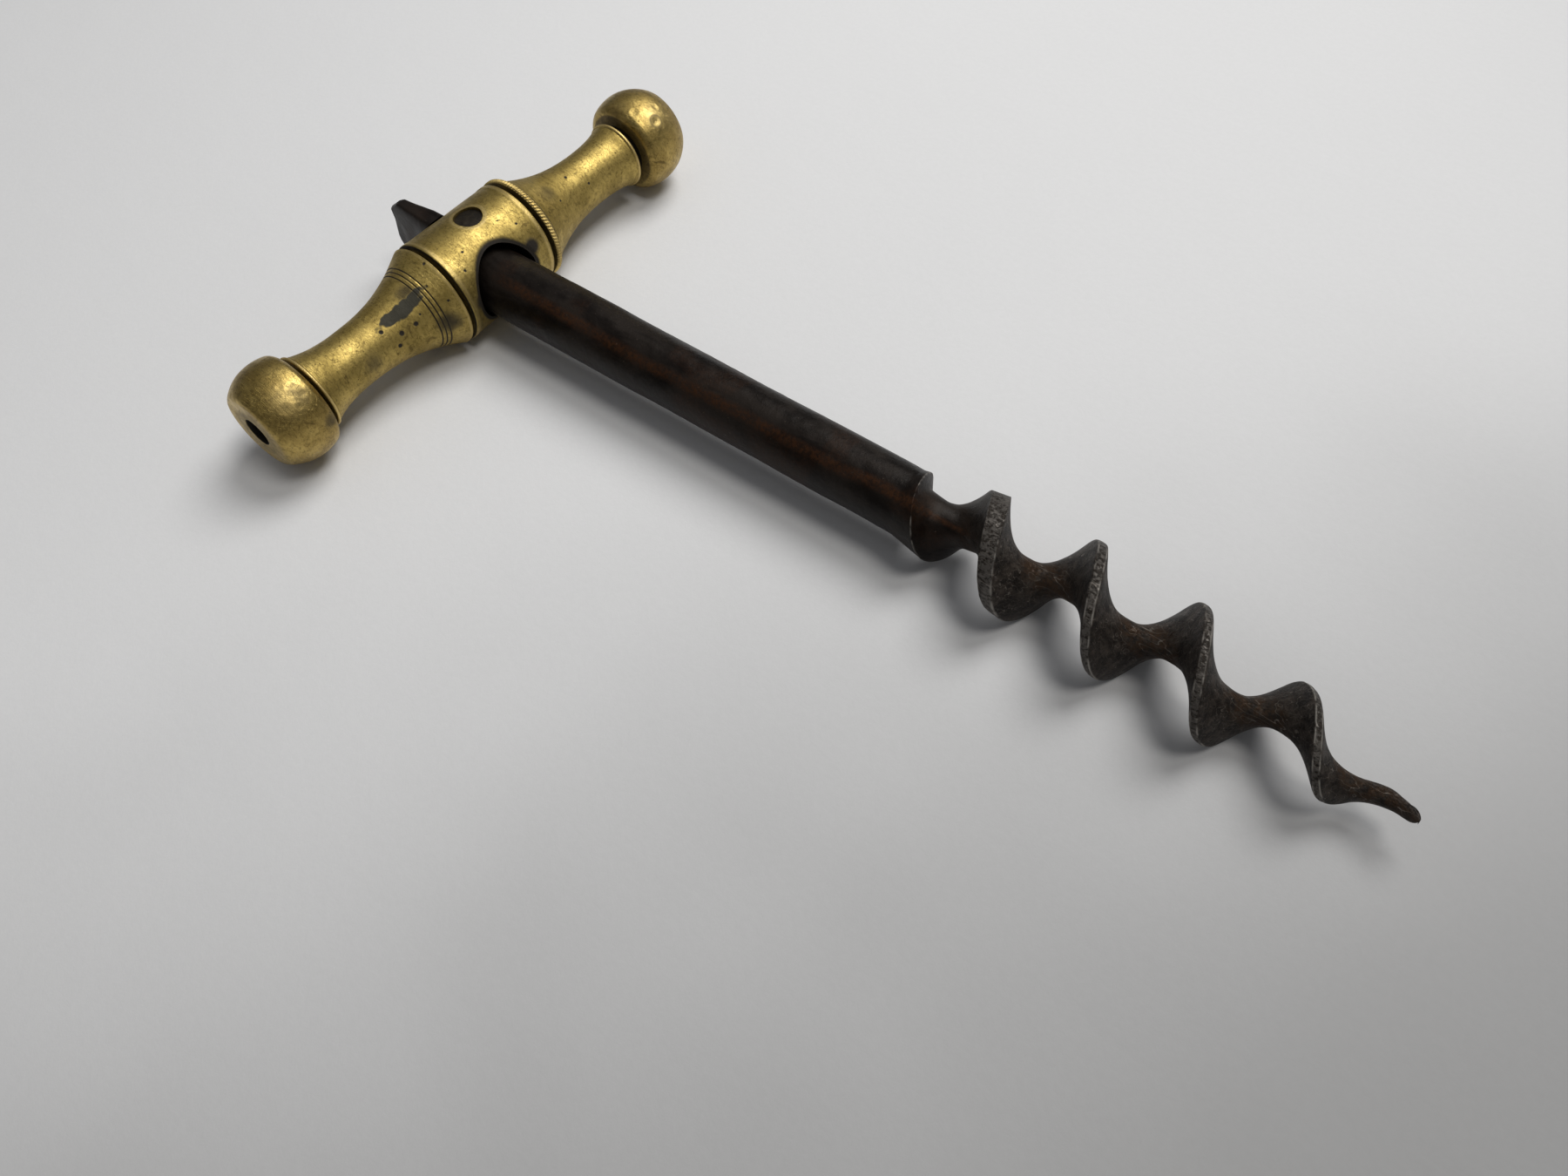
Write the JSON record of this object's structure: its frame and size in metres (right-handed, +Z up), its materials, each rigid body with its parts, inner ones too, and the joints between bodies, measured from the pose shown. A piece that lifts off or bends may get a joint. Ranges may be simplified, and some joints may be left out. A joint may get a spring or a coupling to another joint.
{
  "type": "t-handle corkscrew",
  "caption": "Straight-pull corkscrew: a turned brass crossbar handle with ball ends, a pinned dark steel shank and a right-hand worm with a broad flange.",
  "frame": {"origin": "middle of the footprint of the corkscrew as it lies on a flat surface, on that surface", "axes": "+X along the shank towards the worm's point, +Y along the handle, +Z up"},
  "size_m": [0.1439, 0.0738, 0.0145],
  "materials": {
    "barrel_brass": "old unlacquered brass, worn and lightly scratched",
    "arm_brass": "old unlacquered brass with dark specks and handling wear",
    "knob_brass": "old unlacquered brass, dull with dents and a rubbed shine",
    "shank_steel": "forged steel, dark brown oxide patina, grey where rubbed",
    "stud_steel": "plain steel screw stock",
    "pin_steel": "filed steel pin end, dark"
  },
  "bodies": {
    "body": {"barrel": "barrel_brass", "stud_left": "stud_steel", "stud_right": "stud_steel", "shank_and_worm": "shank_steel", "cross_pin": "pin_steel"},
    "arm_left": {"arm_left": "arm_brass"},
    "arm_right": {"arm_right": "arm_brass"},
    "knob_left": {"knob_left": "knob_brass"},
    "knob_right": {"knob_right": "knob_brass"}
  },
  "joints": [
    {"name": "arm_left_unscrew", "type": "slide", "parent": "body", "child": "arm_left", "axis": [0, -1, 0], "range_m": [0, 0.027]},
    {"name": "arm_right_unscrew", "type": "slide", "parent": "body", "child": "arm_right", "axis": [0, 1, 0], "range_m": [0, 0.027]},
    {"name": "knob_left_unscrew", "type": "slide", "parent": "arm_left", "child": "knob_left", "axis": [0, -1, 0], "range_m": [0, 0.006]},
    {"name": "knob_right_unscrew", "type": "slide", "parent": "arm_right", "child": "knob_right", "axis": [0, 1, 0], "range_m": [0, 0.006]}
  ]
}
